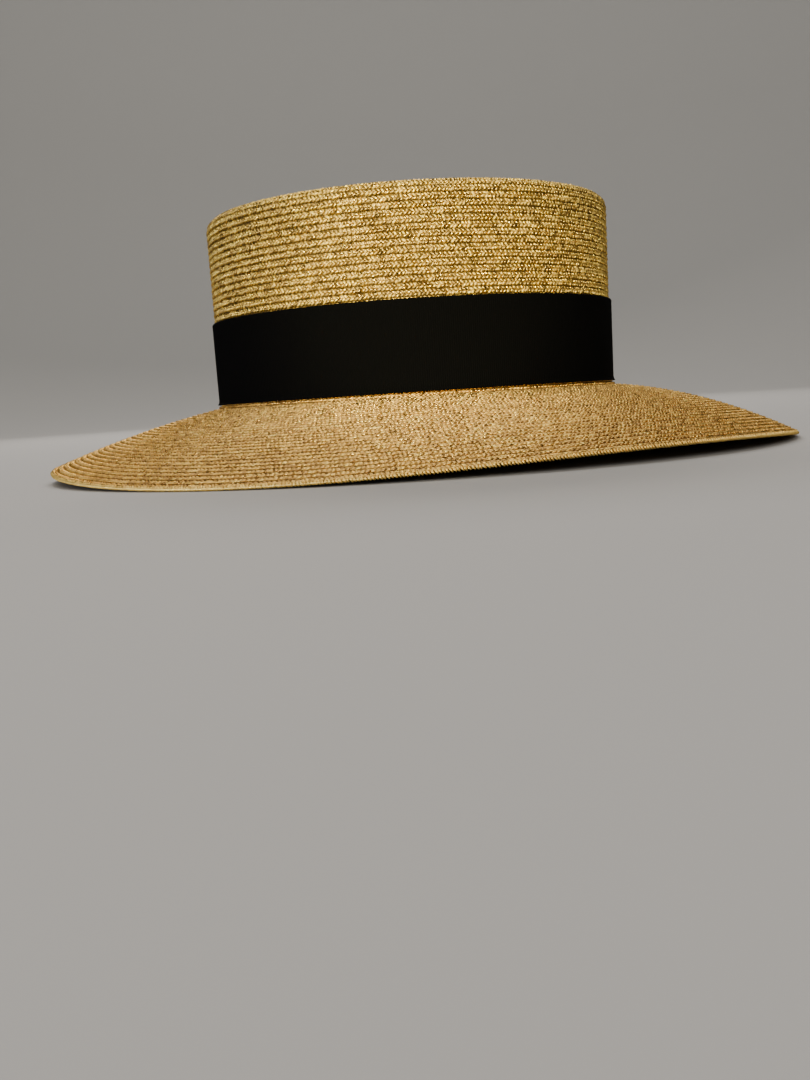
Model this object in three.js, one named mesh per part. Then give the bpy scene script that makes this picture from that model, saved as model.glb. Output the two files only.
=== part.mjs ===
// A straw boater hat that stands on the rim of its brim.
// Millimetres, +Z up, +X to the hat's right tip. The origin lies on the ground
// in the middle of the brim.
import * as THREE from 'three';

// Sizes of the crown, measured on its outside
const crownHalfLength = 99;
const crownHalfWidth = 83;
const crownHeight = 119.4;
const crownEdgeRadius = 5;
const crownCentreX = -1.5;

// Sizes of the brim. The rim rises and falls a little in waves on its way round.
const brimHalfLength = 184.2;
const brimHalfWidth = 164;
const brimRootHeight = 29.8;
const brimRootRadius = 4;
const brimCollarHeight = 2;
const rimWaveRise = 5;
const rimWaveCount = 3;

// Sizes of the ribbon. Its end is lapped over its start on the far side.
const ribbonWidth = 40;
const ribbonThickness = 1;
const ribbonFootTurn = THREE.MathUtils.degToRad(45);
const ribbonStartAngle = THREE.MathUtils.degToRad(97);
const ribbonLapLength = 16;

// Wall of the sewn braid, and the clearance between pieces that touch
const strawWall = 2;
const clearance = 0.3;

// How finely the round shapes are cut
const roundSteps = 80;
const arcSteps = 4;

// The rows of points across the brim, each at a share of its breadth
const brimSections = [
  { share: 0.10 },
  { share: 0.24 },
  { share: 0.42 },
  { share: 0.60 },
  { share: 0.80 },
  { share: 1.00 },
];

// The brim's drop mixes a straight slope with a curve that steepens towards the rim.
// These are the curve's share all round, and what the right tip has more of.
const brimBow = { allRound: 0.48, towardsRight: 0.17 };

const straw = new THREE.MeshStandardMaterial({ color: 0xc29a4e, roughness: 0.5, metalness: 0.35 });
const grosgrain = new THREE.MeshStandardMaterial({ color: 0x101012, roughness: 0.85, metalness: 0 });

const quarterTurn = Math.PI / 2;
const fullTurn = 2 * Math.PI;
const stepAngle = fullTurn / roundSteps;
const collarTopHeight = brimRootHeight + brimRootRadius + brimCollarHeight;

// A ring of points round the hat, counted from the right tip
function ringOf(pointAtAngle) {
  const ring = [];
  for (let step = 0; step < roundSteps; step += 1) {
    ring.push(pointAtAngle(step * stepAngle));
  }
  return ring;
}

// A point at a distance outside the crown's wall and a height above the ground
function besideCrown(outside, height, angle) {
  return new THREE.Vector3(
    crownCentreX + (crownHalfLength + outside) * Math.cos(angle),
    (crownHalfWidth + outside) * Math.sin(angle),
    height,
  );
}

// The two triangles between four corners, seen from outside
function fourSided(a, b, c, d) {
  return [a, b, c, a, c, d];
}

function bodyGeometry(points, triangles) {
  const positions = points.flatMap((point) => [point.x, point.y, point.z]);
  const geometry = new THREE.BufferGeometry();
  geometry.setAttribute('position', new THREE.Float32BufferAttribute(positions, 3));
  geometry.setIndex(triangles);
  geometry.computeVertexNormals();
  return geometry;
}

// Triangles that join each ring of a list to the next one
function bandsBetween(ringCount, bandCount) {
  const triangles = [];
  for (let band = 0; band < bandCount; band += 1) {
    const here = band * roundSteps;
    const next = ((band + 1) % ringCount) * roundSteps;
    for (let step = 0; step < roundSteps; step += 1) {
      const beside = (step + 1) % roundSteps;
      triangles.push(...fourSided(here + step, next + step, next + beside, here + beside));
    }
  }
  return triangles;
}

// A quarter round of rings between the crown's flat tip and its upright wall
function crownEdgeRings(radius) {
  const rings = [];
  for (let step = 0; step <= arcSteps; step += 1) {
    const turn = (quarterTurn * step) / arcSteps;
    const outside = radius * Math.sin(turn) - crownEdgeRadius;
    const height = crownHeight - crownEdgeRadius + radius * Math.cos(turn);
    rings.push(ringOf((angle) => besideCrown(outside, height, angle)));
  }
  return rings;
}

// The crown: a flat tip, a round edge and an upright wall, hollow and open below
function crownGeometry() {
  const footHeight = collarTopHeight + clearance;
  const footRing = (outside) => ringOf((angle) => besideCrown(outside, footHeight, angle));
  const outer = crownEdgeRings(crownEdgeRadius);
  const inner = crownEdgeRings(crownEdgeRadius - strawWall);
  const rings = [...outer, footRing(0), footRing(-strawWall), ...inner.reverse()];
  const tipTop = new THREE.Vector3(crownCentreX, 0, crownHeight);
  const tipUnder = new THREE.Vector3(crownCentreX, 0, crownHeight - strawWall);
  const points = [...rings.flat(), tipTop, tipUnder];
  const triangles = bandsBetween(rings.length, rings.length - 1);
  const tipTopIndex = points.length - 2;
  const tipUnderIndex = points.length - 1;
  const lastRing = (rings.length - 1) * roundSteps;
  for (let step = 0; step < roundSteps; step += 1) {
    const beside = (step + 1) % roundSteps;
    triangles.push(tipTopIndex, step, beside);
    triangles.push(tipUnderIndex, lastRing + beside, lastRing + step);
  }
  return bodyGeometry(points, triangles);
}

// How broad the brim is between the crown and the rim
function brimBreadthAt(angle) {
  const lengthwise = brimHalfLength - crownHalfLength;
  const crosswise = brimHalfWidth - crownHalfWidth;
  return lengthwise * Math.cos(angle) ** 2 + crosswise * Math.sin(angle) ** 2;
}

function brimBowAt(angle) {
  return brimBow.allRound + brimBow.towardsRight * Math.cos(angle);
}

// The height of the brim's upper face at the rim. The lowest places of its lower face
// touch the ground.
function rimHeightAt(angle) {
  const steepest = (brimRootHeight * (1 + brimBowAt(angle))) / brimBreadthAt(angle);
  const wallHeight = strawWall * Math.cos(Math.atan(steepest));
  return wallHeight + (rimWaveRise * (1 - Math.cos(rimWaveCount * angle))) / 2;
}

// The angle below level at which the brim leaves the crown
function rootSlopeAt(angle) {
  const drop = brimRootHeight - rimHeightAt(angle);
  return Math.atan((drop * (1 - brimBowAt(angle))) / brimBreadthAt(angle));
}

// A point on the brim's upper face, at a share of the way from the crown to the rim
function onBrim(share, angle) {
  const bow = brimBowAt(angle);
  const drop = (1 - bow) * share + bow * share * share;
  const rootOutside = brimRootRadius * (1 - Math.sin(rootSlopeAt(angle)));
  const root = besideCrown(rootOutside, brimRootHeight, angle);
  const rim = new THREE.Vector3(
    (brimHalfLength - strawWall / 2) * Math.cos(angle),
    (brimHalfWidth - strawWall / 2) * Math.sin(angle),
    rimHeightAt(angle),
  );
  return new THREE.Vector3(
    THREE.MathUtils.lerp(root.x, rim.x, share),
    THREE.MathUtils.lerp(root.y, rim.y, share),
    THREE.MathUtils.lerp(root.z, rim.z, drop),
  );
}

// The brim's fillet, at a share of its turn from the crown's wall to the brim's slope
function onFillet(share, angle) {
  const slope = rootSlopeAt(angle);
  const turn = (quarterTurn - slope) * share;
  const middleHeight = brimRootHeight + brimRootRadius * Math.cos(slope);
  const outside = brimRootRadius * (1 - Math.cos(turn));
  return besideCrown(outside, middleHeight - brimRootRadius * Math.sin(turn), angle);
}

// The lower face of a wall: its upper face moved by the wall, square to the surface
function lowerFace(rings) {
  return rings.map((ring, row) => ring.map((point, step) => {
    const before = ring[(step + ring.length - 1) % ring.length];
    const after = ring[(step + 1) % ring.length];
    const above = rings[Math.max(row - 1, 0)][step];
    const below = rings[Math.min(row + 1, rings.length - 1)][step];
    const upwards = below.clone().sub(above).cross(after.clone().sub(before)).normalize();
    return point.clone().addScaledVector(upwards, -strawWall);
  }));
}

// The rounded edge of the rim, half way down between its two faces
function rimEdgeRing(upperRim, lowerRim) {
  return upperRim.map((point, step) => new THREE.Vector3(
    brimHalfLength * Math.cos(step * stepAngle),
    brimHalfWidth * Math.sin(step * stepAngle),
    THREE.MathUtils.lerp(point.z, lowerRim[step].z, 1 / 2),
  ));
}

// The brim: a collar that meets the crown's foot, a fillet and the sloping ring
function brimGeometry() {
  const upper = [ringOf((angle) => besideCrown(0, collarTopHeight, angle))];
  for (let step = 0; step <= arcSteps; step += 1) {
    upper.push(ringOf((angle) => onFillet(step / arcSteps, angle)));
  }
  for (const { share } of brimSections) {
    upper.push(ringOf((angle) => onBrim(share, angle)));
  }
  const lower = lowerFace(upper);
  const edge = rimEdgeRing(upper.at(-1), lower.at(-1));
  const rings = [...upper, edge, ...lower.reverse()];
  return bodyGeometry(rings.flat(), bandsBetween(rings.length, rings.length));
}

// The angles at which the ribbon is drawn: once round, and on over its own start
function ribbonAngles() {
  const angles = [];
  for (let step = 0; step <= roundSteps; step += 1) {
    angles.push(ribbonStartAngle + step * stepAngle);
  }
  const lapTurn = ribbonLapLength / crownHalfLength;
  for (let turn = stepAngle; turn < lapTurn; turn += stepAngle) {
    angles.push(ribbonStartAngle + fullTurn + turn);
  }
  angles.push(ribbonStartAngle + fullTurn + lapTurn);
  return angles;
}

// One upright line of the ribbon, down to its foot that turns out over the fillet.
// The depth is counted from the crown's wall, and the lift is that of the lapped end.
function ribbonLine(depth, lift, angle) {
  const footMiddle = brimRootHeight + brimRootRadius;
  const footLength = ribbonFootTurn * (brimRootRadius - clearance);
  const line = [besideCrown(lift + depth, footMiddle + ribbonWidth - footLength, angle)];
  for (let step = 0; step <= arcSteps; step += 1) {
    const turn = (ribbonFootTurn * step) / arcSteps;
    const radius = brimRootRadius - depth;
    const outside = lift + brimRootRadius - radius * Math.cos(turn);
    line.push(besideCrown(outside, footMiddle - radius * Math.sin(turn), angle));
  }
  return line;
}

// The ribbon: one strip round the foot of the crown
function ribbonGeometry() {
  const fullCircle = ribbonStartAngle + fullTurn - stepAngle / 2;
  const sections = ribbonAngles().map((angle) => {
    const lift = angle > fullCircle ? ribbonThickness + clearance : 0;
    const outer = ribbonLine(clearance + ribbonThickness, lift, angle);
    const inner = ribbonLine(clearance, lift, angle);
    return [...outer, ...inner.reverse()];
  });
  const size = sections[0].length;
  const triangles = [];
  for (let row = 0; row < sections.length - 1; row += 1) {
    const here = row * size;
    const next = here + size;
    for (let place = 0; place < size; place += 1) {
      const beside = (place + 1) % size;
      triangles.push(...fourSided(here + place, here + beside, next + beside, next + place));
    }
  }
  const last = (sections.length - 1) * size;
  for (let outer = 0; outer < size / 2 - 1; outer += 1) {
    const inner = size - 1 - outer;
    triangles.push(...fourSided(outer, inner, inner - 1, outer + 1));
    triangles.push(...fourSided(last + outer, last + outer + 1, last + inner - 1, last + inner));
  }
  return bodyGeometry(sections.flat(), triangles);
}

function piece(name, geometry, material) {
  const mesh = new THREE.Mesh(geometry, material);
  mesh.name = name;
  return mesh;
}

const hat = new THREE.Group();
hat.add(piece('crown', crownGeometry(), straw));
hat.add(piece('brim', brimGeometry(), straw));
hat.add(piece('ribbon_band', ribbonGeometry(), grosgrain));

export default hat;
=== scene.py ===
"""A straw boater hat of sewn gold braid with a black grosgrain ribbon, resting on its brim."""
import math

import bpy
import numpy as np
from mathutils import Matrix, Vector


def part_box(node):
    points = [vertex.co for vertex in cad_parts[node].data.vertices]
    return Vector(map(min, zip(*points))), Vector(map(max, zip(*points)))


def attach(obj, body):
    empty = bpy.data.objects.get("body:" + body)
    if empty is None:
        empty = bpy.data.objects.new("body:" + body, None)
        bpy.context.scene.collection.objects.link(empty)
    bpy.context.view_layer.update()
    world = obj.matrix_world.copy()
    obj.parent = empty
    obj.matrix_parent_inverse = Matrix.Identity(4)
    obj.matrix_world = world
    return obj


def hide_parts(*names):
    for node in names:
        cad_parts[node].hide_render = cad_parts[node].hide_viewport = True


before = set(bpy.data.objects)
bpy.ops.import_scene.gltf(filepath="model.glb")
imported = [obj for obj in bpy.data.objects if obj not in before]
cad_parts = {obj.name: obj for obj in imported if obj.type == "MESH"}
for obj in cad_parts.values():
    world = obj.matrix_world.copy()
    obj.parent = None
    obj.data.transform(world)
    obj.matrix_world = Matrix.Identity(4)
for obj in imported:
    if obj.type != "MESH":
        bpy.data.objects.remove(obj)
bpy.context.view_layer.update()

MM = 0.001
FULL_TURN = 2 * math.pi

# Sizes of the hat, read from the frame
crown_low, crown_high = (Vector(corner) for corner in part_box("crown"))
brim_low, brim_high = (Vector(corner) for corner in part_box("brim"))
ribbon_low, ribbon_high = (Vector(corner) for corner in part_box("ribbon_band"))
CROWN_HALF_LENGTH = (crown_high.x - crown_low.x) / 2
CROWN_HALF_WIDTH = (crown_high.y - crown_low.y) / 2
CROWN_CENTRE_X = (crown_high.x + crown_low.x) / 2
CROWN_TOP = crown_high.z
CROWN_FOOT = crown_low.z
COLLAR_TOP = brim_high.z
BRIM_HALF_LENGTH = (brim_high.x - brim_low.x) / 2
BRIM_HALF_WIDTH = (brim_high.y - brim_low.y) / 2
RIBBON_TOP = ribbon_high.z

# Sizes of the hat's round edges and of the brim's fall, as in the solid pieces
CROWN_EDGE_RADIUS = 5 * MM
STRAW_WALL = 2 * MM
BRIM_ROOT_HEIGHT = 29.8 * MM
BRIM_ROOT_RADIUS = 4 * MM
RIM_WAVE_RISE = 5 * MM
RIM_WAVE_COUNT = 3
BRIM_BOW = 0.48
BRIM_BOW_TOWARDS_RIGHT = 0.17

# The braid: how far apart its rows and its stitches lie, and how each row laps the next
FLAT_PITCH = 3.0 * MM
STITCH_PITCH = 1.8 * MM
GROUND_DEPTH = 1.05 * MM
LAP_RISE = 0.42 * MM
GROUND_THICKNESS = 0.95 * MM
ROW_SECTIONS = (
    {"across": 0.00, "rise": 0.00},
    {"across": 0.45, "rise": 0.75},
    {"across": 0.92, "rise": 1.00},
)

# The last ring of braid ends this share of a row early, so that it still belongs to its row
ROW_END_GAP = 0.001

# How many points measure the length of a row and of the ribbon
ROW_POINTS = 1441
RIBBON_POINTS = 2400

# How hand-sewn rows stray, as a share of a row, in waves round the hat
ROW_WANDER = 0.022
WANDER_FADE_ROWS = 3
WANDER_WAVES = (
    {"waves": 3, "shift": 1.7, "share": 1.0},
    {"waves": 8, "shift": 2.9, "share": 0.7},
)

# Rows of the crown, counted from the middle of its tip
TIP_REACH = CROWN_HALF_WIDTH - CROWN_EDGE_RADIUS
EDGE_REACH = CROWN_EDGE_RADIUS * math.pi / 2
SEAM_LAP = 1.0 * MM
SEAM_LIFT = 0.5 * MM
WALL_REACH = CROWN_TOP - CROWN_EDGE_RADIUS - CROWN_FOOT + SEAM_LAP
CROWN_ROWS = 55
CROWN_FIRST_ROW = 0.15
CROWN_PITCH = (TIP_REACH + EDGE_REACH + WALL_REACH) / CROWN_ROWS
CROWN_COLUMNS = 176
START_STRAIGHTNESS = 3.2
LEAST_STRAIGHTNESS = 0.01
OVAL_REACH = 45 * MM

# Rows of the brim, counted from the top of its collar
COLLAR_ROWS = 0.7
FILLET_ROWS = 1.8
SLOPE_ROWS = 29.5
BRIM_ROWS = round(COLLAR_ROWS + FILLET_ROWS + SLOPE_ROWS)
BRIM_FLAT_START = 40
BRIM_SPLIT_ROW = 18
BRIM_COLUMNS = 256

# The ribbon: a flat strip, then wrapped round the crown
RIBBON_THICKNESS = 0.6 * MM
RIBBON_CLEARANCE = 0.5 * MM
RIBBON_FOOT_TURN = math.radians(45)
RIBBON_START_ANGLE = math.radians(97)
RIBBON_LAP = 16 * MM
RIBBON_LAP_RAMP = 5 * MM
RIBBON_LAP_GAP = 0.25 * MM
RIB_PITCH = 0.95 * MM
RIB_HEIGHT = 0.09 * MM

# The ribbon from its lower to its upper edge, in millimetres: how high, how ribbed, how raised
RIBBON_ROWS = (
    {"up": 0.0, "rib": 0, "bead": -0.05},
    {"up": 0.45, "rib": 0, "bead": 0.12},
    {"up": 0.95, "rib": 1, "bead": 0},
    {"up": 1.7, "rib": 1, "bead": 0},
    {"up": 2.4, "rib": 1, "bead": 0},
    {"up": 3.14, "rib": 1, "bead": 0},
    {"up": 39.05, "rib": 1, "bead": 0},
    {"up": 39.55, "rib": 0, "bead": 0.12},
    {"up": 40.0, "rib": 0, "bead": -0.05},
)


def deselect_all():
    bpy.ops.object.select_all(action="DESELECT")


def unit(vectors):
    return vectors / np.linalg.norm(vectors, axis=-1, keepdims=True)


def read_all(items, attribute, kind=float, width=1):
    """One attribute of all vertices, corners or faces of a mesh, as one list of numbers."""
    values = np.zeros(len(items) * width, dtype=kind)
    items.foreach_get(attribute, values)
    return values


# The form of the hat

def beside_crown(outside, height, angle):
    """Points outside the crown's wall, at heights and angles counted from the right tip."""
    return np.stack(
        np.broadcast_arrays(
            CROWN_CENTRE_X + (CROWN_HALF_LENGTH + outside) * np.cos(angle),
            (CROWN_HALF_WIDTH + outside) * np.sin(angle),
            height,
        ),
        axis=-1,
    )


def wander(row, angle, last_row):
    """How far a hand-sewn row strays up and down on its way round, least at both ends."""
    stray = sum(
        wave["share"] * np.sin(wave["waves"] * angle + wave["shift"] * row) for wave in WANDER_WAVES
    )
    return ROW_WANDER * stray * np.clip(np.minimum(row, last_row - row) / WANDER_FADE_ROWS, 0, 1)


def straight_start(reach, angle):
    """How far the first rows, sewn round a straight length, lie from the oval's rows."""
    straightness = np.maximum(START_STRAIGHTNESS * (1 - reach / OVAL_REACH), LEAST_STRAIGHTNESS)
    oval = np.cos(angle)
    straight = np.tanh(straightness * oval) / np.tanh(straightness)
    return (CROWN_HALF_LENGTH - CROWN_HALF_WIDTH) * (straight - oval)


def on_crown(row, angle):
    """Points on the crown's outer face. Rows are counted from the middle of the tip."""
    reach = (row + wander(row, angle, CROWN_ROWS)) * CROWN_PITCH
    turn = np.clip((reach - TIP_REACH) / CROWN_EDGE_RADIUS, 0, math.pi / 2)
    outside = np.minimum(reach, TIP_REACH) - CROWN_HALF_WIDTH + CROWN_EDGE_RADIUS * np.sin(turn)
    over_collar = SEAM_LIFT * np.clip(row - CROWN_ROWS + 1, 0, 1)
    down_wall = np.maximum(reach - TIP_REACH - EDGE_REACH, 0)
    height = CROWN_TOP - CROWN_EDGE_RADIUS * (1 - np.cos(turn)) - down_wall
    place = beside_crown(outside + over_collar, height, angle)
    place[..., 0] += straight_start(reach, angle)
    return place


def brim_breadth(angle):
    lengthwise = BRIM_HALF_LENGTH - CROWN_HALF_LENGTH
    crosswise = BRIM_HALF_WIDTH - CROWN_HALF_WIDTH
    return lengthwise * np.cos(angle) ** 2 + crosswise * np.sin(angle) ** 2


def brim_bow(angle):
    return BRIM_BOW + BRIM_BOW_TOWARDS_RIGHT * np.cos(angle)


def rim_height(angle):
    """The height of the brim's upper face at its rim."""
    steepest = BRIM_ROOT_HEIGHT * (1 + brim_bow(angle)) / brim_breadth(angle)
    wall_height = STRAW_WALL * np.cos(np.arctan(steepest))
    return wall_height + RIM_WAVE_RISE * (1 - np.cos(RIM_WAVE_COUNT * angle)) / 2


def on_brim(row, angle):
    """Points on the brim's upper face. Rows are counted from the top of its collar."""
    row = row + wander(row, angle, BRIM_ROWS)
    bow = brim_bow(angle)
    slope = np.arctan((BRIM_ROOT_HEIGHT - rim_height(angle)) * (1 - bow) / brim_breadth(angle))
    collar = np.clip(row / COLLAR_ROWS, 0, 1)
    fillet = np.clip((row - COLLAR_ROWS) / FILLET_ROWS, 0, 1)
    across = np.clip((row - COLLAR_ROWS - FILLET_ROWS) / SLOPE_ROWS, 0, 1)
    turn = (math.pi / 2 - slope) * fillet
    middle = BRIM_ROOT_HEIGHT + BRIM_ROOT_RADIUS * np.cos(slope)
    height = middle - BRIM_ROOT_RADIUS * np.sin(turn) + (1 - collar) * (COLLAR_TOP - middle)
    root = beside_crown(BRIM_ROOT_RADIUS * (1 - np.cos(turn)), height, angle)
    rim = np.stack(
        np.broadcast_arrays(
            (BRIM_HALF_LENGTH - STRAW_WALL / 2) * np.cos(angle),
            (BRIM_HALF_WIDTH - STRAW_WALL / 2) * np.sin(angle),
            rim_height(angle),
        ),
        axis=-1,
    )
    drop = (1 - bow) * across + bow * across ** 2
    shares = np.stack(np.broadcast_arrays(across, across, drop), axis=-1)
    return root + (rim - root) * shares


def directions(place, row, angle):
    """Unit vectors along a row, down across the rows, and out of the face."""
    row_step = 0.02
    angle_step = 0.002
    along = unit(place(row, angle + angle_step) - place(row, angle - angle_step))
    across = unit(place(row + row_step, angle) - place(np.maximum(row - row_step, 0), angle))
    return along, across, unit(np.cross(across, along))


def angles_along_row(place, row, share):
    """The angles at shares of the length of one row, and that length."""
    fine = np.linspace(0, FULL_TURN, ROW_POINTS)
    points = place(np.full_like(fine, row), fine)
    steps = np.linalg.norm(np.diff(points, axis=0), axis=1)
    length = np.concatenate([[0], np.cumsum(steps)])
    return np.interp(np.mod(share, 1) * length[-1], length, fine), length[-1]


def stitches_in(place, row):
    """How many stitches go round the row that a row number lies in."""
    length = angles_along_row(place, math.floor(row) + 0.5, np.zeros(1))[1]
    return max(6, round(length / STITCH_PITCH))


# The ground of the braid: rows laid flat, ring by ring, then formed over the hat

def lay_flat_rows(name, first_row, row_count, columns):
    """Flat rings of braid. The distance from the middle is the row number times the pitch."""
    deselect_all()
    radius = first_row * FLAT_PITCH
    bpy.ops.mesh.primitive_circle_add(vertices=columns, radius=radius)
    obj = bpy.context.object
    obj.name = name
    bpy.ops.object.mode_set(mode="EDIT")
    bpy.ops.mesh.select_all(action="SELECT")
    rows = [
        base + section["across"]
        for base in range(math.floor(first_row), math.floor(first_row) + row_count)
        for section in ROW_SECTIONS
    ]
    rows.append(math.floor(first_row) + row_count - ROW_END_GAP)
    for row in [row for row in rows if row > first_row]:
        wider = row * FLAT_PITCH / radius
        bpy.ops.mesh.extrude_region_move()
        bpy.ops.transform.resize(value=(wider, wider, 1))
        radius *= wider
    bpy.ops.object.mode_set(mode="OBJECT")
    return obj


def close_middle(obj):
    """Fills the innermost ring."""
    places = np.array([vertex.co[:2] for vertex in obj.data.vertices])
    radii = np.linalg.norm(places, axis=1)
    bpy.ops.object.mode_set(mode="EDIT")
    bpy.ops.mesh.select_all(action="DESELECT")
    bpy.ops.object.mode_set(mode="OBJECT")
    obj.data.vertices.foreach_set("select", radii < radii.min() * 1.01)
    bpy.ops.object.mode_set(mode="EDIT")
    bpy.ops.mesh.select_mode(type="VERT")
    bpy.ops.mesh.edge_face_add()
    bpy.ops.object.mode_set(mode="OBJECT")


def lap_rise(row):
    """How far the ground is raised within each row: low where it is lapped, high at its edge."""
    across = [section["across"] for section in ROW_SECTIONS] + [1.0]
    rise = [section["rise"] for section in ROW_SECTIONS] + [0.0]
    return np.interp(np.mod(np.round(row, 4), 1), across, rise)


def map_stitches(obj, place, rows, angles, lowest_row):
    """A UV map that counts stitches along the rows, and rows across them."""
    mesh = obj.data
    loop_vertex = read_all(mesh.loops, "vertex_index", np.int32)
    loop_start = read_all(mesh.polygons, "loop_start", np.int32)
    loop_total = read_all(mesh.polygons, "loop_total", np.int32)
    face_of_loop = np.repeat(np.arange(len(mesh.polygons)), loop_total)
    loop_row = rows[loop_vertex]
    face_row = np.add.reduceat(loop_row, loop_start) / loop_total
    first_angle = angles[loop_vertex[loop_start]][face_of_loop]
    away = np.mod(angles[loop_vertex] - first_angle + math.pi, FULL_TURN) - math.pi
    row_numbers = np.floor(face_row).astype(int)
    counts = {
        number: stitches_in(place, number - lowest_row) for number in np.unique(row_numbers)
    }
    face_count = np.array([counts[number] for number in row_numbers])
    along = (first_angle + away) / FULL_TURN * face_count[face_of_loop]
    layer = mesh.uv_layers.new(name="Stitches")
    layer.data.foreach_set("uv", np.stack([along, loop_row - lowest_row], axis=1).ravel())


def map_flat(obj, places):
    """A UV map of the flat rows, which leaves room beside it for the inner face."""
    mesh = obj.data
    loop_vertex = read_all(mesh.loops, "vertex_index", np.int32)
    flat = places[loop_vertex, :2] / (2.04 * np.abs(places[:, :2]).max())
    layer = mesh.uv_layers.new(name="OFBake")
    layer.data.foreach_set("uv", (flat * (0.5, 1) + (0.25, 0.5)).ravel())


def move_inner_map(obj):
    """Moves the inner face's part of the flat UV map beside the outer face's part."""
    mesh = obj.data
    loop_total = read_all(mesh.polygons, "loop_total", np.int32)
    materials = read_all(mesh.polygons, "material_index", np.int32)
    layer = mesh.uv_layers["OFBake"]
    uv = read_all(layer.data, "uv", width=2)
    uv[0::2] += 0.5 * np.repeat(materials, loop_total)
    layer.data.foreach_set("uv", uv)


def form_over_hat(obj, place, lowest_row):
    """Moves the flat rows onto the hat's face, each row lapped over the next one."""
    mesh = obj.data
    places = read_all(mesh.vertices, "co", width=3).reshape(-1, 3)
    rows = np.linalg.norm(places[:, :2], axis=1) / FLAT_PITCH
    angles = np.arctan2(places[:, 1], places[:, 0])
    map_stitches(obj, place, rows, angles, lowest_row)
    map_flat(obj, places)
    hat_rows = rows - lowest_row
    outwards = directions(place, hat_rows, angles)[2]
    lift = LAP_RISE * lap_rise(rows) - GROUND_DEPTH
    formed = place(hat_rows, angles) + outwards * lift[:, None]
    mesh.vertices.foreach_set("co", formed.ravel())
    mesh.update()


def face_outwards(obj):
    """Turns all faces of an open sheet to its outer side, before it gets its thickness."""
    deselect_all()
    obj.select_set(True)
    bpy.context.view_layer.objects.active = obj
    bpy.ops.object.mode_set(mode="EDIT")
    bpy.ops.mesh.select_all(action="SELECT")
    bpy.ops.mesh.normals_make_consistent(inside=False)
    bpy.ops.object.mode_set(mode="OBJECT")


def give_wall(obj):
    """Thickens the rows inwards. The inner face takes the second material."""
    face_outwards(obj)
    wall = obj.modifiers.new("wall", "SOLIDIFY")
    wall.thickness = GROUND_THICKNESS
    wall.offset = -1
    wall.material_offset = 1
    wall.material_offset_rim = 1
    bpy.ops.object.modifier_apply(modifier="wall")
    bpy.ops.object.shade_smooth()
    move_inner_map(obj)


def crown_ground(shadow, inside):
    obj = lay_flat_rows("crown_braid", CROWN_FIRST_ROW, CROWN_ROWS, CROWN_COLUMNS)
    close_middle(obj)
    form_over_hat(obj, on_crown, 0)
    obj.data.materials.append(shadow)
    obj.data.materials.append(inside)
    give_wall(obj)
    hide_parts("crown")
    return obj


def brim_ground(shadow, inside):
    obj = lay_flat_rows("brim_braid", BRIM_FLAT_START, BRIM_ROWS, BRIM_COLUMNS)
    form_over_hat(obj, on_brim, BRIM_FLAT_START)
    obj.data.materials.append(shadow)
    obj.data.materials.append(inside)
    give_wall(obj)
    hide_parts("brim")
    return obj


# The stitches: the strands of the plait where they come to the face

# The corners of one strand in a box 2 long, 2 wide and 2 high: its foot has six corners and
# its ridge two
STRAND_CORNERS = np.array([
    [-1.0, 0.0, -1.0], [-0.5, -0.95, -1.0], [0.5, -0.95, -1.0], [1.0, 0.0, -1.0],
    [0.5, 0.95, -1.0], [-0.5, 0.95, -1.0], [-0.5, 0.0, 0.9], [0.5, 0.0, 0.9],
])
STRAND_FACES = np.array([
    [0, 1, 6], [1, 2, 7], [1, 7, 6], [2, 3, 7], [3, 4, 7], [4, 5, 6], [4, 6, 7], [5, 0, 6],
    [0, 5, 1], [1, 5, 4], [1, 4, 2], [2, 4, 3],
])
UPPER_FACES = 8

# The two strands across a row of the crown and of the brim: place, lean in degrees, how high
# they lie, and their size in millimetres
CROWN_STRANDS = (
    {"across": 0.29, "lean": 43, "rise": 0.55, "length": 2.45, "width": 1.40},
    {"across": 0.68, "lean": -50, "rise": 0.90, "length": 2.65, "width": 1.45},
)
BRIM_STRANDS = (
    {"across": 0.28, "lean": 68, "rise": 0.50, "length": 3.3, "width": 1.15},
    {"across": 0.72, "lean": -70, "rise": 0.95, "length": 3.3, "width": 1.20},
)
STRAND_HEIGHT = 0.75 * MM
STRAND_DEPTH = 0.74 * MM
STRAND_TILT = math.radians(7)

# How much each strand differs from the next: its place along and across the row, its lean, tilt
# and roll, and its size. The tones drift over a few stitches.
ALONG_SPREAD = 0.09
ACROSS_SPREAD = 0.025
TURN_SPREADS = np.radians([11, 5, 16])
SIZE_SPREAD = 0.12
DRIFT_STITCHES = 7
DRIFT_SHARE = 0.2

# The strands that turn over the rim, in degrees and millimetres, and how much they differ
RIM_STRAND = {"lean": 48, "length": 2.5, "width": 1.25, "height": 1.6, "outside": 0.15}
RIM_STITCH_PITCH = 1.3 * MM
RIM_SPREAD = 0.05
RIM_LEAN_SPREAD = math.radians(5)


def turned(first, second, angle):
    """Two unit vectors turned in their plane by an angle."""
    cosine, sine = np.cos(angle)[:, None], np.sin(angle)[:, None]
    return first * cosine + second * sine, second * cosine - first * sine


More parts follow.
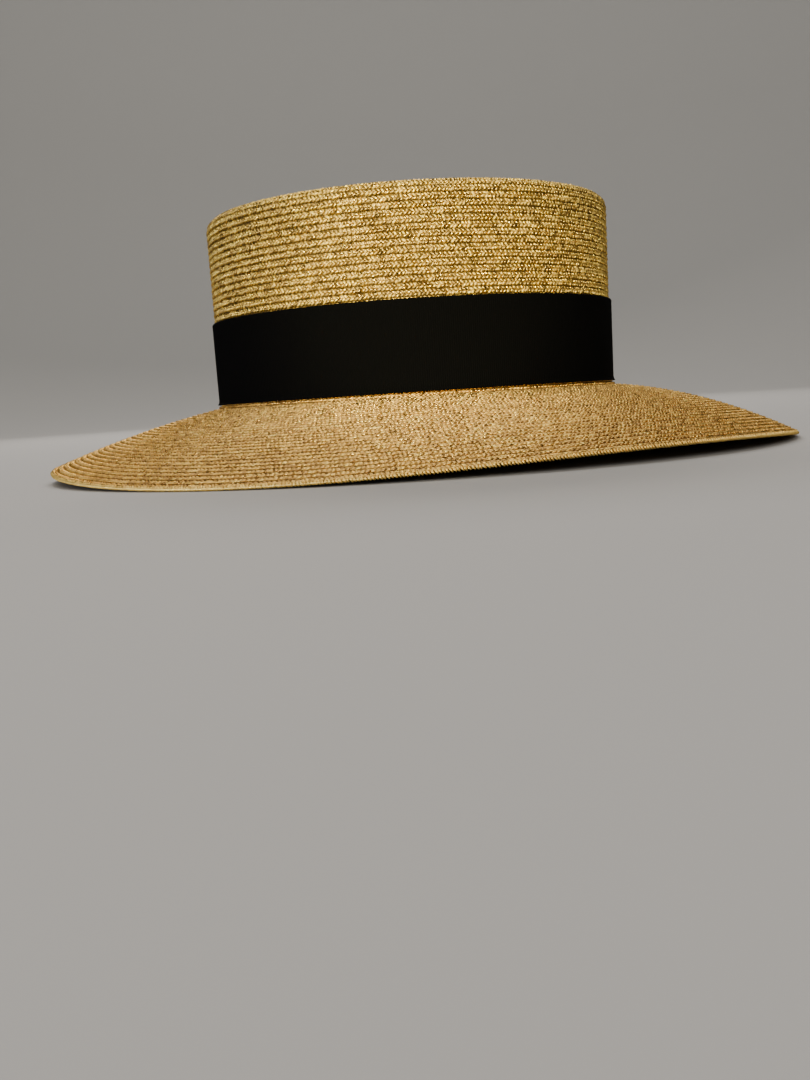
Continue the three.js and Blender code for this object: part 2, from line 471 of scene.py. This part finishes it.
def strand_mesh(name, middle, long, wide, high, tones, material):
    """Many strands as one joined mesh. Each has two tones and its own cell of a UV map."""
    axes = np.stack([long, wide, high], axis=1) / 2
    points = middle[:, None] + np.einsum("ck,nkd->ncd", STRAND_CORNERS, axes)
    starts = np.arange(len(middle))[:, None, None] * len(STRAND_CORNERS)
    mesh = bpy.data.meshes.new(name)
    mesh.from_pydata(points.reshape(-1, 3), [], (STRAND_FACES[None] + starts).reshape(-1, 3))
    mesh.materials.append(material)
    layer = mesh.uv_layers.new(name="Tone")
    layer.data.foreach_set("uv", np.repeat(tones, STRAND_FACES.size, axis=0).ravel())
    plan = STRAND_CORNERS[STRAND_FACES.ravel(), :2] * (0.22, 0.45) + (0.25, 0.5)
    plan[UPPER_FACES * 3:, 0] += 0.5
    across = math.ceil(math.sqrt(len(middle)))
    cells = np.stack(np.divmod(np.arange(len(middle)), across), axis=1)
    layer = mesh.uv_layers.new(name="OFBake")
    layer.data.foreach_set("uv", ((cells[:, None] + plan[None]) / across).ravel())
    mesh.shade_smooth()
    obj = bpy.data.objects.new(name, mesh)
    bpy.context.collection.objects.link(obj)
    return obj


def drifting_tones(chance, count):
    """Tones that change from strand to strand and drift along the row."""
    knots = count // DRIFT_STITCHES + 2
    drift = np.interp(np.linspace(0, 1, count), np.linspace(0, 1, knots), chance.random(knots))
    shade = (1 - DRIFT_SHARE) * chance.random(count) + DRIFT_SHARE * drift
    return np.stack([shade, chance.random(count)], axis=1)


def braid_stitches(name, place, table, row_numbers, material, seed, unevenness):
    """The strands of many rows. Unevenness is how much each differs from the next."""
    chance = np.random.default_rng(seed)
    strands = []
    for row in row_numbers:
        count = stitches_in(place, row)
        row_start = chance.random()
        for strand in table:
            shift = row_start + strand["across"]
            share = (np.arange(count) + shift + chance.normal(0, ALONG_SPREAD, count)) / count
            rows = row + strand["across"] + chance.normal(0, ACROSS_SPREAD * unevenness, count)
            angle = angles_along_row(place, row + strand["across"], share)[0]
            along, across, out = directions(place, rows, angle)
            lift = LAP_RISE * strand["rise"] - STRAND_DEPTH
            middle = place(rows, angle) + out * lift
            turns = unevenness * TURN_SPREADS[:, None] * chance.normal(size=(3, count))
            lean, tilt, roll = turns
            long, wide = turned(across, along, math.radians(strand["lean"]) + lean)
            long, out = turned(long, out, STRAND_TILT + tilt)
            wide, out = turned(wide, out, roll)
            size = chance.normal(1, SIZE_SPREAD * unevenness, (3, count, 1))
            strands.append((
                middle,
                long * strand["length"] * MM * size[0],
                wide * strand["width"] * MM * size[1],
                out * STRAND_HEIGHT * size[2],
                drifting_tones(chance, count),
            ))
    return strand_mesh(name, *(np.concatenate(parts) for parts in zip(*strands)), material)


def rim_edge(material):
    """The rim's edge: strands that turn over it side by side, like a fine cord."""
    chance = np.random.default_rng(5)
    row = BRIM_ROWS
    length = angles_along_row(on_brim, row, np.zeros(1))[1]
    count = round(length / RIM_STITCH_PITCH)
    share = (np.arange(count) + chance.normal(0, RIM_SPREAD, count)) / count
    angle = angles_along_row(on_brim, row, share)[0]
    along, across, out = directions(on_brim, np.full(count, row - 0.03), angle)
    middle = on_brim(row, angle) + across * RIM_STRAND["outside"] * MM - out * STRAW_WALL / 2
    lean = math.radians(RIM_STRAND["lean"]) + chance.normal(0, RIM_LEAN_SPREAD, count)
    long, wide = turned(out, -along, lean)
    size = chance.normal(1, RIM_SPREAD, (3, count, 1))
    # The rim's strands take only the brightest shades of the brim's braid: a painted highlight along
    # the rim's edge
    tones = np.stack([1 - 0.2 * chance.random(count), 0.1 + 0.5 * chance.random(count)], axis=1)
    return strand_mesh(
        "rim_edge",
        middle,
        long * RIM_STRAND["length"] * MM * size[0],
        wide * RIM_STRAND["width"] * MM * size[1],
        across * RIM_STRAND["height"] * MM * size[2],
        tones,
        material,
    )


# The ribbon

def ribbon_angles(lengths):
    """The angles at lengths along the ribbon, counted on round the oval of its face."""
    furthest = RIBBON_START_ANGLE + 1.25 * FULL_TURN
    fine = np.linspace(RIBBON_START_ANGLE, furthest, RIBBON_POINTS)
    points = beside_crown(RIBBON_CLEARANCE, 0, fine)
    steps = np.linalg.norm(np.diff(points, axis=0), axis=1)
    reached = np.concatenate([[0], np.cumsum(steps)])
    return np.interp(lengths, reached, fine), np.interp(FULL_TURN, fine - fine[0], reached)


def wrap_ribbon(lengths, round_length, up, rib, bead):
    """Points of the ribbon's outer face at lengths along it and heights up from its foot."""
    angle = ribbon_angles(lengths)[0]
    lap = np.clip((lengths - round_length) / RIBBON_LAP_RAMP + 1, 0, 1)
    lift = (RIBBON_THICKNESS + RIBBON_LAP_GAP) * lap ** 2 * (3 - 2 * lap)
    ribs = RIB_HEIGHT * rib * np.cos(FULL_TURN * lengths / RIB_PITCH)
    depth = RIBBON_CLEARANCE + RIBBON_THICKNESS + ribs + bead * MM
    foot_length = RIBBON_FOOT_TURN * BRIM_ROOT_RADIUS
    foot_middle = BRIM_ROOT_HEIGHT + BRIM_ROOT_RADIUS
    turn = np.clip(1 - up / foot_length, 0, 1) * RIBBON_FOOT_TURN
    radius = BRIM_ROOT_RADIUS - depth
    outside = lift + BRIM_ROOT_RADIUS - radius * np.cos(turn)
    height = foot_middle - radius * np.sin(turn) + np.maximum(up - foot_length, 0)
    return beside_crown(outside, height, angle)


def ribbon_band(material):
    """A flat ribbed strip, wrapped round the crown, its end lapped over its start."""
    round_length = ribbon_angles(np.zeros(1))[1]
    length = round_length + RIBBON_LAP
    columns = 4 * round(length / RIB_PITCH)
    row_steps = len(RIBBON_ROWS) - 1
    deselect_all()
    bpy.ops.mesh.primitive_grid_add(x_subdivisions=columns, y_subdivisions=row_steps, size=1)
    obj = bpy.context.object
    obj.name = "grosgrain_ribbon"
    mesh = obj.data
    flat = read_all(mesh.vertices, "co", width=3).reshape(-1, 3) + [0.5, 0.5, 0]
    rows = np.round(flat[:, 1] * row_steps).astype(int)
    up, rib, bead = (np.array([row[key] for row in RIBBON_ROWS])[rows] for key in ("up", "rib", "bead"))
    up = up * MM
    lengths = flat[:, 0] * length
    mesh.vertices.foreach_set("co", wrap_ribbon(lengths, round_length, up, rib, bead).ravel())
    layer = mesh.uv_layers.active or mesh.uv_layers.new(name="UVMap")
    layer.name = "Ribbon"
    loop_vertex = read_all(mesh.loops, "vertex_index", np.int32)
    uv = np.stack([lengths / RIB_PITCH, up / RIB_PITCH], axis=1)[loop_vertex]
    layer.data.foreach_set("uv", uv.ravel())
    mesh.materials.append(material)
    mesh.update()
    face_outwards(obj)
    wall = obj.modifiers.new("wall", "SOLIDIFY")
    wall.thickness = RIBBON_THICKNESS
    wall.offset = -1
    bpy.ops.object.modifier_apply(modifier="wall")
    bpy.ops.object.shade_smooth()
    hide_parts("ribbon_band")
    return obj


# Materials

# Shades of the gold thread, from its darkest strands to its brightest, and of the ribbon.
# The crown and the brim are one braid: the brim's warmer, brighter shades are painted warm light.
CROWN_SHADES = (
    (0.0, (0.36, 0.24, 0.08)),
    (0.4, (0.57, 0.40, 0.11)),
    (0.75, (0.78, 0.56, 0.13)),
    (0.95, (0.95, 0.74, 0.18)),
)
BRIM_SHADES_WARM_LIT = (
    (0.0, (0.46, 0.265, 0.085)),
    (0.4, (0.69, 0.42, 0.115)),
    (0.75, (0.87, 0.555, 0.14)),
    (0.95, (0.97, 0.70, 0.20)),
)
RIBBON_SHADES = (
    (0.0, (0.0004, 0.0004, 0.0005)),
    (0.7, (0.0026, 0.0027, 0.0033)),
)
GOLD_SPECULAR = (0.8, 0.57, 0.3, 1)


def new_material(name):
    material = bpy.data.materials.new(name)
    material.use_nodes = True
    nodes = material.node_tree.nodes
    return material, nodes, material.node_tree.links, nodes["Principled BSDF"]


def maths(nodes, links, operation, *values):
    node = nodes.new("ShaderNodeMath")
    node.operation = operation
    for socket, value in zip(node.inputs, values):
        if isinstance(value, (int, float)):
            socket.default_value = value
        else:
            links.new(value, socket)
    return node.outputs[0]


def ramp(nodes, links, factor, stops):
    node = nodes.new("ShaderNodeValToRGB")
    elements = node.color_ramp.elements
    while len(elements) < len(stops):
        elements.new(0.5)
    for element, (position, colour) in zip(elements, stops):
        element.position = position
        element.color = (*colour, 1)
    links.new(factor, node.inputs[0])
    return node.outputs[0]


def new_group(name, inputs, outputs):
    """A shader node group with named sockets, given as names and kinds."""
    group = bpy.data.node_groups.new(name, "ShaderNodeTree")
    for sockets, direction in ((inputs, "INPUT"), (outputs, "OUTPUT")):
        for socket, kind in sockets.items():
            group.interface.new_socket(socket, in_out=direction, socket_type="NodeSocket" + kind)
    entry = group.nodes.new("NodeGroupInput")
    way_out = group.nodes.new("NodeGroupOutput")
    return group, group.nodes, group.links, entry.outputs, way_out.inputs


def place_group(nodes, group):
    node = nodes.new("ShaderNodeGroup")
    node.node_tree = group
    return node


def thread_film_group():
    """Gold film wound on straw: how metallic and how rough a strand is, and its fine creases."""
    group, nodes, links, given, result = new_group(
        "thread_film",
        {"Wear": "Float", "Place": "Vector", "Crease Depth": "Float"},
        {"Metal": "Float", "Roughness": "Float", "Normal": "Vector"},
    )
    metal = nodes.new("ShaderNodeMapRange")
    metal.inputs["From Max"].default_value = 0.6
    metal.inputs["To Min"].default_value = 0.5
    metal.inputs["To Max"].default_value = 1.0
    links.new(given["Wear"], metal.inputs["Value"])
    links.new(metal.outputs[0], result["Metal"])
    rough = nodes.new("ShaderNodeMapRange")
    rough.inputs["To Min"].default_value = 0.56
    rough.inputs["To Max"].default_value = 0.26
    links.new(given["Wear"], rough.inputs["Value"])
    links.new(rough.outputs[0], result["Roughness"])
    film = nodes.new("ShaderNodeTexNoise")
    film.inputs["Scale"].default_value = 2600
    film.inputs["Detail"].default_value = 1
    links.new(given["Place"], film.inputs["Vector"])
    bump = nodes.new("ShaderNodeBump")
    bump.inputs["Strength"].default_value = 0.9
    links.new(given["Crease Depth"], bump.inputs["Distance"])
    links.new(film.outputs[0], bump.inputs["Height"])
    links.new(bump.outputs[0], result["Normal"])
    return group


def plait_group():
    """The plait of the braid: two half rows of slanted strands, from the map that counts them."""
    group, nodes, links, given, result = new_group(
        "plait", {"Stitches": "Vector"}, {"Height": "Float", "Tone": "Float"},
    )
    split = nodes.new("ShaderNodeSeparateXYZ")
    links.new(given["Stitches"], split.inputs[0])
    half_row = maths(nodes, links, "MULTIPLY", split.outputs[1], 2)
    half_number = maths(nodes, links, "FLOOR", half_row)
    within = maths(nodes, links, "FRACT", half_row)
    side = maths(nodes, links, "SUBTRACT", maths(nodes, links, "MODULO", half_number, 2), 0.5)
    lean = maths(nodes, links, "MULTIPLY", side, within)
    along = maths(nodes, links, "ADD", split.outputs[0], lean)
    half_turn = maths(nodes, links, "MULTIPLY", along, math.pi)
    ridge = maths(nodes, links, "ABSOLUTE", maths(nodes, links, "SINE", half_turn))
    bulge = maths(nodes, links, "SINE", maths(nodes, links, "MULTIPLY", within, math.pi))
    height = maths(nodes, links, "MULTIPLY", ridge, maths(nodes, links, "POWER", bulge, 0.5))
    cell = nodes.new("ShaderNodeCombineXYZ")
    links.new(maths(nodes, links, "FLOOR", along), cell.inputs[0])
    links.new(half_number, cell.inputs[1])
    noise = nodes.new("ShaderNodeTexWhiteNoise")
    noise.noise_dimensions = "2D"
    links.new(cell.outputs[0], noise.inputs["Vector"])
    shade = maths(nodes, links, "MULTIPLY_ADD", noise.outputs[0], 0.6, 0.4)
    links.new(height, result["Height"])
    # The tone is the ridge's height times a random shade for each stitch: darker in the grooves, which
    # is painted shade
    links.new(maths(nodes, links, "MULTIPLY", height, shade), result["Tone"])
    return group


def gold_thread_material(name, shades, film):
    """The strands: straw wound with gold thread, each strand a little other than the next."""
    material, nodes, links, shader = new_material(name)
    tone = nodes.new("ShaderNodeUVMap")
    tone.uv_map = "Tone"
    split = nodes.new("ShaderNodeSeparateXYZ")
    links.new(tone.outputs[0], split.inputs[0])
    links.new(ramp(nodes, links, split.outputs[0], shades), shader.inputs["Base Color"])
    place = nodes.new("ShaderNodeTexCoord")
    wound = place_group(nodes, film)
    wound.inputs["Crease Depth"].default_value = 0.16 * MM
    links.new(split.outputs[1], wound.inputs["Wear"])
    links.new(place.outputs["Object"], wound.inputs["Place"])
    links.new(wound.outputs["Metal"], shader.inputs["Metallic"])
    links.new(wound.outputs["Roughness"], shader.inputs["Roughness"])
    links.new(wound.outputs["Normal"], shader.inputs["Normal"])
    shader.inputs["Specular Tint"].default_value = GOLD_SPECULAR
    shader.inputs["Coat Weight"].default_value = 0.2
    shader.inputs["Coat Roughness"].default_value = 0.3
    return material


def braid_ground_material(name, plait, dark, light, stitch_depth):
    """The plait itself, as seen between the strands and on the inside; its copies between the strands
    are darker, as painted shade.
    """
    material, nodes, links, shader = new_material(name)
    stitches = nodes.new("ShaderNodeUVMap")
    stitches.uv_map = "Stitches"
    plaited = place_group(nodes, plait)
    links.new(stitches.outputs[0], plaited.inputs["Stitches"])
    shades = ((0.0, dark), (1.0, light))
    links.new(ramp(nodes, links, plaited.outputs["Tone"], shades), shader.inputs["Base Color"])
    bump = nodes.new("ShaderNodeBump")
    bump.inputs["Distance"].default_value = stitch_depth
    bump.inputs["Strength"].default_value = 1.0
    links.new(plaited.outputs["Height"], bump.inputs["Height"])
    links.new(bump.outputs[0], shader.inputs["Normal"])
    shader.inputs["Metallic"].default_value = 0.8
    shader.inputs["Roughness"].default_value = 0.38
    shader.inputs["Specular Tint"].default_value = GOLD_SPECULAR
    return material


def grosgrain_material():
    """Black ribbed ribbon: fine threads along it, a slow change of tone, and painted shade between the
    threads.
    """
    material, nodes, links, shader = new_material("black_grosgrain")
    place = nodes.new("ShaderNodeUVMap")
    place.uv_map = "Ribbon"
    split = nodes.new("ShaderNodeSeparateXYZ")
    links.new(place.outputs[0], split.inputs[0])
    threads = maths(nodes, links, "MULTIPLY", split.outputs[1], 4 * math.pi)
    thread = maths(nodes, links, "ABSOLUTE", maths(nodes, links, "SINE", threads))
    noise = nodes.new("ShaderNodeTexNoise")
    noise.inputs["Scale"].default_value = 3
    links.new(place.outputs[0], noise.inputs["Vector"])
    # The tone is darker between the threads: painted shade in the grooves, times a slow change of tone
    tone = maths(nodes, links, "MULTIPLY", noise.outputs[0], thread)
    links.new(ramp(nodes, links, tone, RIBBON_SHADES), shader.inputs["Base Color"])
    bump = nodes.new("ShaderNodeBump")
    bump.inputs["Distance"].default_value = 0.05 * MM
    links.new(thread, bump.inputs["Height"])
    links.new(bump.outputs[0], shader.inputs["Normal"])
    shader.inputs["Roughness"].default_value = 0.7
    shader.inputs["Specular IOR Level"].default_value = 0.025
    return material


def stage_material(name, colour):
    material, nodes, links, shader = new_material(name)
    shader.inputs["Base Color"].default_value = (*colour, 1)
    shader.inputs["Roughness"].default_value = 0.9
    return material


# Camera, lights and floor

# The photograph's lens, and the camera's turns in degrees (yaw, pitch and roll) and place
PHOTO_FOCAL_PIXELS = 932.9
PHOTO_HEIGHT_PIXELS = 1080
CAMERA_TURNS = (1.63, 8.51, -3.70)
CAMERA_PLACE = (-26.1 * MM, -485.8 * MM, 28.4 * MM)

# Soft lights, in metres and watts, and one warm spot on the front of the crown
SOFTBOXES = (
    {"name": "key", "place": (-0.08, -1.5, 0.72), "target": (0, 0, 0.08), "size": (0.9, 0.7),
     "watts": 14, "colour": (1.0, 0.95, 0.88)},
    {"name": "top", "place": (-0.05, -0.1, 2.3), "target": (0, 0, 0), "size": (1.8, 1.8),
     "watts": 22, "colour": (1.0, 0.93, 0.86)},
    {"name": "back", "place": (-0.2, 1.5, 1.3), "target": (0, 0, 0.08), "size": (1.2, 0.5),
     "watts": 20, "colour": (1.0, 0.93, 0.88)},
    {"name": "side", "place": (-1.2, -0.6, 0.1), "target": (0, 0, 0.08), "size": (0.6, 0.16),
     "watts": 7, "colour": (0.9, 0.94, 1.0)},
    {"name": "wall", "place": (0, 0.7, 1.9), "target": (0, 2.7, 0.5), "size": (1.4, 0.6),
     "watts": 17, "colour": (1.0, 0.96, 0.88)},
)
ACCENT = {"place": (-0.03, -0.95, 0.30), "target": (0.0, -0.083, 0.078), "cone": 10.2,
          "watts": 88, "colour": (1.0, 0.90, 0.45)}
SKY_COLOUR = (0.76, 0.80, 0.86)
SKY_STRENGTH = 0.3

# The floor, in metres: flat up to its reach, then swept up into a wall
FLOOR_COLOUR = (0.37, 0.364, 0.35)
FLOOR_START = 0.35
FLOOR_REACH = 1.9
FLOOR_SWEEP = 0.9
FLOOR_SWEEP_STEPS = 12
WALL_TOP = 2.6
FLOOR_COLUMNS = 96


def add_camera():
    """The photograph's angle to the hat, from a little above the floor."""
    data = bpy.data.cameras.new("camera")
    data.sensor_width = 36
    data.clip_start = 2 * MM
    data.lens = data.sensor_width * PHOTO_FOCAL_PIXELS / PHOTO_HEIGHT_PIXELS
    camera = bpy.data.objects.new("camera", data)
    bpy.context.collection.objects.link(camera)
    yaw, pitch, roll = (math.radians(turn) for turn in CAMERA_TURNS)
    flat = Vector((math.sin(yaw), math.cos(yaw), 0)) * math.cos(pitch)
    forward = flat - Vector((0, 0, math.sin(pitch)))
    level = forward.cross(Vector((0, 0, 1))).normalized()
    upright = level.cross(forward)
    right = level * math.cos(roll) + upright * math.sin(roll)
    up = upright * math.cos(roll) - level * math.sin(roll)
    aimed = Matrix((right, up, -forward)).transposed().to_4x4()
    camera.matrix_world = Matrix.Translation(CAMERA_PLACE) @ aimed
    bpy.context.scene.camera = camera


def aim_light(name, data, place, target):
    light = bpy.data.objects.new(name, data)
    light.location = place
    light.rotation_euler = (Vector(target) - Vector(place)).to_track_quat("-Z", "Y").to_euler()
    bpy.context.collection.objects.link(light)


def add_softbox(name, place, target, size, watts, colour):
    data = bpy.data.lights.new(name, "AREA")
    data.shape = "RECTANGLE"
    data.size, data.size_y = size
    data.energy = watts
    data.color = colour
    aim_light(name, data, place, target)


def add_accent(place, target, cone, watts, colour):
    data = bpy.data.lights.new("accent", "SPOT")
    data.spot_size = math.radians(cone)
    data.spot_blend = 0.3
    data.shadow_soft_size = 0.03
    data.energy = watts
    data.color = colour
    aim_light("accent", data, place, target)


def add_lights():
    for softbox in SOFTBOXES:
        add_softbox(**softbox)
    add_accent(**ACCENT)
    world = bpy.data.worlds.new("studio")
    world.use_nodes = True
    sky = world.node_tree.nodes["Background"]
    sky.inputs["Color"].default_value = (*SKY_COLOUR, 1)
    sky.inputs["Strength"].default_value = SKY_STRENGTH
    bpy.context.scene.world = world


def add_stage():
    """A round floor that sweeps up into a wall all round."""
    outline = [(FLOOR_START, 0.0), (FLOOR_REACH, 0.0)]
    for step in range(1, FLOOR_SWEEP_STEPS + 1):
        turn = math.pi / 2 * step / FLOOR_SWEEP_STEPS
        reach = FLOOR_REACH + FLOOR_SWEEP * math.sin(turn)
        outline.append((reach, FLOOR_SWEEP * (1 - math.cos(turn))))
    outline.append((FLOOR_REACH + FLOOR_SWEEP, WALL_TOP))
    points = [(0, 0, 0)]
    for reach, height in outline:
        for column in range(FLOOR_COLUMNS):
            angle = FULL_TURN * column / FLOOR_COLUMNS
            points.append((reach * math.cos(angle), reach * math.sin(angle), height))
    faces = []
    for column in range(FLOOR_COLUMNS):
        beside = (column + 1) % FLOOR_COLUMNS
        faces.append((0, 1 + column, 1 + beside))
        for ring in range(len(outline) - 1):
            here = 1 + ring * FLOOR_COLUMNS
            above = here + FLOOR_COLUMNS
            faces.append((here + column, above + column, above + beside, here + beside))
    mesh = bpy.data.meshes.new("floor")
    mesh.from_pydata(points, [], faces)
    mesh.materials.append(stage_material("pale_floor", FLOOR_COLOUR))
    mesh.shade_smooth()
    floor = bpy.data.objects.new("floor", mesh)
    bpy.context.collection.objects.link(floor)


def build_hat():
    film = thread_film_group()
    plait = plait_group()
    crown_thread = gold_thread_material("crown_gold_thread", CROWN_SHADES, film)
    # The brim's copy of the gold thread is warmer and brighter: painted warm light on the same braid
    brim_thread_warm_lit = gold_thread_material("brim_gold_thread_warm_lit", BRIM_SHADES_WARM_LIT, film)
    # The ground between the strands is darker than the braid's inside: painted shade between the
    # strands, lighter on the brim
    crown_shadow = braid_ground_material(
        "crown_braid_shadow", plait,
        dark=(0.10, 0.066, 0.022), light=(0.40, 0.275, 0.08), stitch_depth=0.3 * MM,
    )
    brim_shadow = braid_ground_material(
        "brim_braid_shadow", plait,
        dark=(0.18, 0.10, 0.034), light=(0.58, 0.36, 0.10), stitch_depth=0.3 * MM,
    )
    inside = braid_ground_material(
        "braid_inside", plait,
        dark=(0.10, 0.05, 0.008), light=(1.0, 0.72, 0.27), stitch_depth=0.6 * MM,
    )
    tip_rows = round(TIP_REACH / CROWN_PITCH)
    covered_reach = TIP_REACH + EDGE_REACH + CROWN_TOP - CROWN_EDGE_RADIUS - RIBBON_TOP
    covered_row = math.ceil(covered_reach / CROWN_PITCH) + 1
    pieces = [
        crown_ground(crown_shadow, inside),
        brim_ground(brim_shadow, inside),
        braid_stitches("crown_tip_stitches", on_crown, CROWN_STRANDS, range(tip_rows),
                       crown_thread, seed=1, unevenness=1.0),
        braid_stitches("crown_side_stitches", on_crown, CROWN_STRANDS, range(tip_rows, covered_row),
                       crown_thread, seed=2, unevenness=1.0),
        braid_stitches("brim_inner_stitches", on_brim, BRIM_STRANDS, range(1, BRIM_SPLIT_ROW),
                       brim_thread_warm_lit, seed=3, unevenness=0.5),
        braid_stitches("brim_outer_stitches", on_brim, BRIM_STRANDS, range(BRIM_SPLIT_ROW, BRIM_ROWS),
                       brim_thread_warm_lit, seed=4, unevenness=0.5),
        rim_edge(brim_thread_warm_lit),
    ]
    for piece in pieces:
        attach(piece, "root")
    ribbon = ribbon_band(grosgrain_material())
    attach(ribbon, "root")


add_camera()
add_lights()
add_stage()
build_hat()
